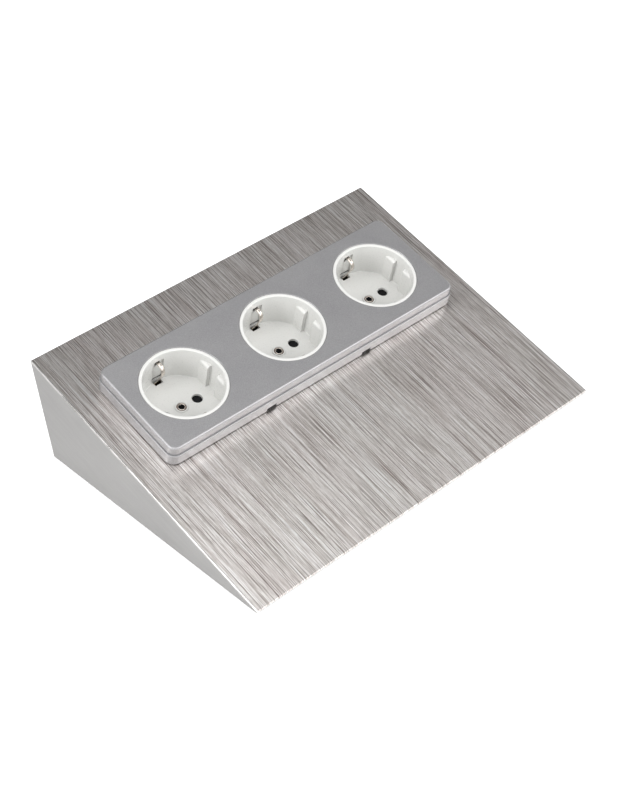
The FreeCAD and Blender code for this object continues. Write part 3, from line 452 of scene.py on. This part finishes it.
def cut(bm, *tools):
    """Take each group of tools away from a solid, one group after another."""
    mesh = bpy.data.meshes.new("whole")
    bm.to_mesh(mesh)
    bm.free()
    for group in tools:
        cutter = bpy.data.meshes.new("cutter")
        tool = joined(group)
        bmesh.ops.recalc_face_normals(tool, faces=tool.faces)
        tool.to_mesh(cutter)
        tool.free()
        pair = [bpy.data.objects.new("cut", each) for each in (mesh, cutter)]
        for each in pair:
            bpy.context.scene.collection.objects.link(each)
        modifier = pair[0].modifiers.new("cut", "BOOLEAN")
        modifier.object = pair[1]
        modifier.operation = "DIFFERENCE"
        modifier.solver = "EXACT"
        shown = pair[0].evaluated_get(bpy.context.evaluated_depsgraph_get())
        result = bpy.data.meshes.new_from_object(shown)
        for each in pair:
            bpy.data.objects.remove(each)
        bpy.data.meshes.remove(mesh)
        bpy.data.meshes.remove(cutter)
        mesh = result
    whole = bmesh.new()
    whole.from_mesh(mesh)
    bpy.data.meshes.remove(mesh)
    return whole


def piece(name, bm, matrix, material_names, body, nodes, choose=None, angle=32):
    """A finished object: smooth where it curves, sharp at its edges, riding on its body."""
    bm.transform(matrix)
    if choose:
        for face in bm.faces:
            face.material_index = choose(face)
    mesh = bpy.data.meshes.new(name)
    bm.to_mesh(mesh)
    bm.free()
    for material_name in material_names:
        mesh.materials.append(MATERIALS[material_name])
    mesh.shade_smooth()
    mesh.set_sharp_from_angle(angle=math.radians(angle))
    made = bpy.data.objects.new(name, mesh)
    bpy.context.scene.collection.objects.link(made)
    weighted = made.modifiers.new("normals", "WEIGHTED_NORMAL")
    weighted.keep_sharp = True
    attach(made, body)
    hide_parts(*nodes)


# ---- housing ----

def housing():
    """The folded steel shell: a wedge, open below inside its flange, with two openings."""
    rise = math.tan(SLOPE)
    lip = SHELL_LOW.z + FRONT_LIP
    top = lip + (BACK - FRONT) * rise
    bm = prism([(FRONT, SHELL_LOW.z), (BACK, SHELL_LOW.z), (BACK, top), (FRONT, lip)], -HALF, HALF, axis="x")
    folds = [edge for edge in bm.edges if (edge.verts[0].co + edge.verts[1].co).z / 2 > lip + 1]
    bmesh.ops.bevel(bm, geom=folds, offset=0.9, segments=6, profile=0.5, affect="EDGES")

    drop = STEEL / math.cos(SLOPE)
    plate_top = SHELL_LOW.z + PLATE
    flange_top = plate_top + STEEL
    inside, back = HALF - STEEL, BACK - STEEL
    cavity = prism([
        (FRONT + (flange_top - lip + drop) / rise, flange_top), (back, flange_top),
        (back, lip + (back - FRONT) * rise - drop),
    ], -inside, inside, axis="x")
    plate_recess = brick((-inside, FRONT + HEM, -1), (inside, back, plate_top))
    clear = inside - FLANGE
    below = brick((-clear, FRONT + HEM + 13, plate_top - 0.5), (clear, back - FLANGE, flange_top + 0.3))
    unit_opening = moved(slab(*CUT_OUT, [(0, -4), (0, 4)]), TILT)
    half_wide, half_high = 13.8, 10.1
    inlet_opening = brick(
        (INLET_X - half_wide, BACK - 3, INLET_Z - half_high),
        (INLET_X + half_wide, BACK + 1, INLET_Z + half_high))
    bm = cut(bm, [cavity], [plate_recess], [below], [unit_opening, inlet_opening])

    def finish_of(face):
        """0 along the scratches, 1 on the sides and below, painted darker as shade, 2 on the folds, with a
        painted highlight.
        """
        flat = max(abs(face.normal.x), abs(face.normal.y), face.normal.dot(NORMAL)) > 0.995
        if not flat and face.normal.z > -0.1:
            return 2
        return 1 if abs(face.normal.x) > 0.75 or face.normal.z < -0.5 else 0
    # the folds' material paints a highlight along each fold, and the sides' material paints them darker as
    # shade
    piece("housing", bm, MM, ["brushed_steel", "satin_steel", "rubbed_edge"], "housing", ["housing_shell"],
        finish_of)


# ---- frame ----

def cover_frame():
    """The upper tier: a shallow cap with three round openings and four snap tongues."""
    rounding = 0.95
    rim = arc((rounding, FRAME_TOP - rounding), rounding, 180, 90, 8)
    body = slab(*UPPER_TIER, [(0.2, UPPER_LOW), (0, UPPER_LOW + 0.2), *rim])
    wall = 1.6
    hollow = slab(*UPPER_TIER, [(wall, 5), (wall, FRAME_TOP - 1.85)])
    radius = RIM_RADIUS + 0.13
    hole = [(0, 6), (radius, 6), (radius, 11.25), (radius + 0.2, 11.45), (radius + 0.2, 12), (0, 12)]
    holes = [moved(turned(hole, 128), at(x, 0)) for x in SOCKETS.values()]
    whole = cut(body, [hollow], holes)
    inner, outer = LOWER_TIER[1] - 3.2, LOWER_TIER[1] - 2.2
    tongues = []
    for x in (-NOTCH_X, NOTCH_X):
        for near, far in ((-outer, -inner), (inner, outer)):
            tongues.append(brick((x - 3, near, 3.5), (x + 3, far, 9.8), 0.2))
    piece("upper_frame", joined([whole, *tongues]), DECK, ["frame_grey"], "housing", ["cover_frame"])


def base_frame():
    """The lower tier: an open tray round the cut-out, with two notches under its front wall."""
    body = slab(*LOWER_TIER, [
        (0.15, SEAL), (0, SEAL + 0.15), *arc((0.3, LOWER_TOP - 0.3), 0.3, 180, 90, 5),
    ])
    wall, tray_floor = 2, 2
    tray = slab(*LOWER_TIER, [(wall, tray_floor), (wall, LOWER_TOP + 2.6)])
    cut_out = slab(*CUT_OUT, [(0, -1), (0, tray_floor + 1)])
    notches = [brick((x - 2.9, -30.5, -1), (x + 2.9, 4 - LOWER_TIER[1], SEAL + 2))
        for x in (-NOTCH_X, NOTCH_X)]
    whole = cut(body, [tray], [cut_out], notches)
    piece("lower_frame", whole, DECK, ["frame_grey"], "housing", ["base_frame"])


# ---- one socket ----

def guide_rib(a, b):
    """One of the four ribs that guide a plug, with a sloping top and softened edges."""
    face, top = 16.8, 7.25
    bm = prism([(face, 3.2), (20.1, 3.2), (18.1, 9.6), (face, 9.6)], FLOOR_TOP - 0.1, top)
    sharp = [edge for edge in bm.edges
        if all(abs(vert.co.x - face) < 0.01 and vert.co.z > top - 0.25 for vert in edge.verts)]
    bmesh.ops.bevel(bm, geom=sharp, offset=1.0, segments=1, affect="EDGES")
    inner = [edge for edge in bm.edges if all(vert.co.x < face + 1.2 for vert in edge.verts)
        and not all(vert.co.z < FLOOR_TOP + 0.3 for vert in edge.verts)]
    bmesh.ops.bevel(bm, geom=inner, offset=0.45, segments=4, profile=0.5, affect="EDGES")
    bm.transform(Matrix.Diagonal((a, b, 1, 1)))
    if a * b < 0:
        bmesh.ops.reverse_faces(bm, faces=bm.faces)
    return bm


def pin_hole(x):
    """A tool for one pin hole, with a chamfer where it meets the floor."""
    wide = PIN_HOLE + 0.25
    outline = [
        (0, -10), (PIN_HOLE, -10), (PIN_HOLE, FLOOR_TOP - 0.25), (wide, FLOOR_TOP + 0.02), (wide, -6),
        (0, -6),
    ]
    return moved(turned(outline, 48), at(x, 0))


def clip_opening(way, half_wide, near, far, low, high):
    """A box for one earth clip, in front of the socket's axis or behind it."""
    start, end = sorted((way * near, way * far))
    return brick((-half_wide, start, low), (half_wide, end, high))


def insert_shape():
    """The white bowl with its rounded rim, four guide ribs, collar, holes and clip openings."""
    bowl = turned([
        (0, FLOOR_LOW), (BOWL_OUTER, FLOOR_LOW), (BOWL_OUTER, RIM_UNDER), (RIM_RADIUS, RIM_UNDER),
        *arc((RIM_RADIUS - 0.35, RIM_TOP - 0.35), 0.35, 0, 90),
        *arc((MOUTH_RADIUS + 0.45, RIM_TOP - 0.45), 0.45, 90, 180),
        *arc((FLOOR_RADIUS - 0.4, FLOOR_TOP + 0.4), 0.4, 0, -90, 4), (0, FLOOR_TOP),
    ], 160)
    foot, crown = FLOOR_TOP - 0.05, FLOOR_TOP + 0.35
    collar = turned([
        (2.5, foot), (3.2, foot), *arc((2.98, crown), 0.25, 0, 90, 4), *arc((2.72, crown), 0.25, 90, 180, 4),
        (2.47, foot),
    ], 48)
    screw_seat = turned([(0, -8.2), (2.45, -8.2), (2.45, -6), (0, -6)], 48)
    screw_bore = turned([(0, -9.5), (1.5, -9.5), (1.5, -8), (0, -8)], 32)
    tip_top = 7.2
    pockets, slots, crosses = [], [], []
    for way in (-1, 1):
        pockets.append(clip_opening(way, 3.2, 17, 20, FLOOR_TOP, tip_top))
        slots.append(clip_opening(way, 1.5, 19, 23, 3.4, tip_top))
        slots.append(clip_opening(way, 2.25, 16.9, 19.8, -9.5, -6.3))
        crosses.append(clip_opening(way, 3.7, 19, 23, -6.6, -5.1))
    holes = [pin_hole(-PIN_X), pin_hole(PIN_X), screw_seat]
    whole = cut(bowl, [*pockets, *holes], slots, [*crosses, screw_bore])
    ribs = [guide_rib(a, b) for a in (-1, 1) for b in (-1, 1)]
    return joined([whole, collar, *ribs])


def smooth_path(points):
    """A Catmull-Rom line through (radius, height) points."""
    steps = 8
    padded = [points[0], *points, points[-1]]
    line = []
    for a, b, c, d in zip(padded, padded[1:], padded[2:], padded[3:]):
        for step in range(steps):
            t = step / steps
            line.append(tuple(
                0.5 * (2 * q + (r - p) * t + (2 * p - 5 * q + 4 * r - s) * t * t
                    + (3 * q - p - 3 * r + s) * t ** 3)
                for p, q, r, s in zip(a, b, c, d)))
    return [*line, points[-1]]


def clip_shape(side):
    """A sprung nickel strip, wide at its foot, bowed in towards the plug and rounded along its edges."""
    root_half, blade_half = 1.95, 1.05
    thick, corner = 0.26, 0.14
    path = smooth_path([
        (18.75, -14.3), (18.42, -11), (18.42, -7.4), (17.9, -5.7), (16.5, -2.2), (15.25, 0.8), (15.08, 2.7),
        (15.5, 4.5), (16.7, 5.7), (18.2, 6.15), (19.6, 6.0),
    ])
    loops = []
    for number, (out, height) in enumerate(path):
        before, after = path[max(0, number - 1)], path[min(len(path) - 1, number + 1)]
        run = Vector((after[0] - before[0], after[1] - before[1])).normalized()
        square = Vector((-run.y, run.x))
        half = root_half - (root_half - blade_half) * min(1, max(0, height + 6.3) / 0.8)
        quarter = [(half, thick - corner), (half - corner, thick)]
        section = []
        for a, b in ((1, 1), (-1, 1), (-1, -1), (1, -1)):
            section += [(a * x, b * t) for x, t in (quarter if a == b else reversed(quarter))]
        loops.append([Vector((x, side * (out + square.x * t), height + square.y * t)) for x, t in section])
    return loft(loops)


def gap_shade_ring_shape():
    """A dull brown ring that fills the deep gap between the collar and the screw head: painted shade."""
    return turned([(2.05, -8.15), (2.42, -8.15), (2.42, -7.3), (2.3, -7.22), (2.05, -7.3), (2.05, -8.15)], 48)


def screw_shape():
    """A screw head with a rounded rim round a deep cross recess."""
    head = turned([
        (0, -18), (1.3, -18), (1.3, -8.2), (2.0, -8.2), (2.0, -7.2), *arc((1.75, -7.1), 0.25, 0, 90, 5),
        *arc((1.7, -7.05), 0.2, 90, 180, 4), (1.42, -7.7), (1.0, -8.5), (0, -8.7),
    ], 64)
    for along, across in ((0.9, 0.3), (0.3, 0.9)):
        head = cut(head, [brick((-along, -across, -9.4), (along, across, -8.1))])
    return head


def sockets():
    """Each socket's insert and clips, and the three centre screws, each with a brown ring painted as the
    shade in the gap round its head.
    """
    insert = insert_shape()
    screws, gap_shade_rings = [], []
    for side, x in SOCKETS.items():
        piece(f"{side}_insert", moved(insert.copy(), at(x, 0)), DECK, ["white_insert"], "housing",
            [f"{side}_socket_insert"], angle=38)
        for end, way in (("front", -1), ("rear", 1)):
            body = f"{side}_{end}_earth_clip"
            piece(f"{side}_{end}_clip", moved(clip_shape(way), at(x, 0)), DECK, ["nickel_brass"], body,
                [body], angle=60)
        screws.append(moved(screw_shape(), at(x, 0)))
        gap_shade_rings.append(moved(gap_shade_ring_shape(), at(x, 0)))
    insert.free()

    def finish_of(face):
        """1 down in the recess of a screw, which is painted black as shade, 0 on the rest of it."""
        place = DECK.inverted() @ face.calc_center_median()
        nearest = min(SOCKETS.values(), key=lambda x: abs(place.x - x))
        return int(place.z < FLOOR_TOP and math.hypot(place.x - nearest, place.y) < 1.5)
    # dark_plastic in the screw recesses is painted shade of the deep recess, not a plastic part
    piece("screw_heads", joined(screws), DECK, ["nickel_brass", "dark_plastic"], "housing", ["centre_screws"],
        finish_of)
    # brown_insulation on these rings is painted shade in the gap round each screw head
    piece("screw_sleeves", joined(gap_shade_rings), DECK, ["brown_insulation"], "housing", ["centre_screws"])


# ---- back and underside ----

def inlet():
    """The appliance inlet on the back: its body with the keyed mouth, and three blades."""
    flange = slab(25, 11.2, 3, [(0, 0), *arc((0.5, 1.9), 0.5, 180, 90, 5)])
    body = slab(13.5, 9.8, 1.2, [(0, -INLET_DEEP), (0, 0.2)])
    mouth = [(-12.2, 8.4), (-12.2, -3.6), (-7.4, -8.4), (7.4, -8.4), (12.2, -3.6), (12.2, 8.4)]
    recess = prism(mouth, -13.6, 4)
    hole = [(0, -1), (1.7, -1), (1.7, 0.9), (2.9, 0.9), (2.9, 3), (0, 3)]
    holes = [moved(turned(hole, 40), at(x, 0)) for x in (-INLET_SCREW_X, INLET_SCREW_X)]
    whole = cut(joined([flange, body]), [recess, *holes])
    # the outline's z points out of the back and its y up, which mirrors it, so its faces are turned over
    place = MM @ at(INLET_X, BACK, INLET_Z)
    facing = Matrix.Rotation(math.radians(-90), 4, "X") @ Matrix.Diagonal((1, -1, 1, 1))
    bmesh.ops.reverse_faces(whole, faces=whole.faces)
    piece("inlet", whole, place @ facing, ["black_plastic"], "housing", ["inlet_body"])
    for name, x, z in (("live", -7, 2), ("neutral", 7, 2), ("earth", 0, -2)):
        blade = brick((x - 1, -INLET_DEEP, z - 2), (x + 1, 0, z + 2), 0.45, 3)
        tab = brick((x - 0.4, -24.4, z - 1.9), (x + 0.4, 1 - INLET_DEEP, z + 1.9), 0.15)
        piece(f"inlet_{name}_blade", joined([blade, tab]), place, ["nickel_brass"], "housing",
            [f"inlet_{name}_pin"])


def feet():
    """Four round rubber feet with a dished sole."""
    low, high = (1000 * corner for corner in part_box("rubber_feet"))
    outline = [(0, 0.12), (3.6, 0.12), (4.0, 0), (5.2, 0), (5.6, 0.1), (5.85, 0.45), (FOOT_RADIUS, 1), (0, 1)]
    parts = []
    for x in (low.x + FOOT_RADIUS, high.x - FOOT_RADIUS):
        for y in (low.y + FOOT_RADIUS, high.y - FOOT_RADIUS):
            parts.append(moved(turned(outline, 64), at(x, y)))
    piece("feet", joined(parts), MM, ["black_rubber"], "housing", ["rubber_feet"])


def dress_nodes():
    """Every CAD node that stays gets its slot's material."""
    for part in frame["record"]["subparts"]:
        kept = frame["nodes"][part["node"]]
        kept.data.materials.clear()
        kept.data.materials.append(MATERIALS[part["material_slot"]])


# ---- studio ----

def softbox(name, place, target, wide, high, power):
    """A rectangular light at place that faces target."""
    data = bpy.data.lights.new(name, "AREA")
    data.shape = "RECTANGLE"
    data.size = wide
    data.size_y = high
    data.energy = power
    lamp = bpy.data.objects.new(name, data)
    lamp.location = place
    aim = Vector(target) - Vector(place)
    lamp.rotation_mode = "QUATERNION"
    lamp.rotation_quaternion = aim.to_track_quat("-Z", "Y")
    bpy.context.scene.collection.objects.link(lamp)


def surroundings():
    """A pale dome, brightest at the horizon, with a dark flag behind the object to the right."""
    world = bpy.data.worlds.new("world")
    world.use_nodes = True
    tree = world.node_tree
    direction = node(tree, "TexCoord")
    height = node(tree, "SeparateXYZ")
    link(tree, direction.outputs["Generated"], height.inputs["Vector"])
    dome = ramp(tree, height.outputs["Z"], [
        (0.0, (1.25, 1.25, 1.25)), (0.4, (1.0, 1.0, 1.0)), (0.72, (0.33, 0.33, 0.335)),
    ])
    facing = node(tree, "VectorMath", operation="DOT_PRODUCT")
    facing.inputs[1].default_value = (0.6, 0.8, 0)
    link(tree, direction.outputs["Generated"], facing.inputs[0])
    flag = ramp(tree, facing.outputs["Value"], [(0.15, (1, 1, 1)), (0.7, (0.35, 0.35, 0.35))])
    link(tree, multiply(tree, dome, flag), tree.nodes["Background"].inputs["Color"])
    bpy.context.scene.world = world


def paper_floor():
    """A round sheet of pale paper that glows a little."""
    paper, tree, bsdf = material("floor", roughness=0.9)
    bsdf.inputs["Emission Strength"].default_value = 0.35
    bsdf.inputs["Emission Color"].default_value = (1, 1, 1, 1)
    fibres = noise(tree, (60, 60, 60), detail=2)
    tone = ramp(tree, fibres, [(0.3, (0.90, 0.90, 0.90)), (0.7, (0.92, 0.92, 0.92))])
    link(tree, tone, bsdf.inputs["Base Color"])
    bm = bmesh.new()
    bmesh.ops.create_circle(bm, cap_ends=True, radius=4, segments=96)
    mesh = bpy.data.meshes.new("floor")
    bm.to_mesh(mesh)
    bm.free()
    mesh.materials.append(paper)
    floor = bpy.data.objects.new("floor", mesh)
    floor.location.z = -0.0002
    bpy.context.scene.collection.objects.link(floor)


def studio():
    """Soft light from above, from the left and from the front."""
    bpy.context.scene.view_settings.view_transform = "Standard"
    surroundings()
    softbox("ceiling", (-0.62, -0.72, 1.25), (-0.62, -0.72, 0), 2.0, 1.7, 15)
    softbox("left", (-1.3, 0.08, 1.0), (0, 0, 0), 0.5, 1.0, 11)
    softbox("front", (0.9, -1.3, 0.9), (0, 0, 0), 1.5, 0.7, 15)
    paper_floor()


make_camera()
MATERIALS = make_materials()
dress_nodes()
housing()
cover_frame()
base_frame()
sockets()
inlet()
feet()
studio()
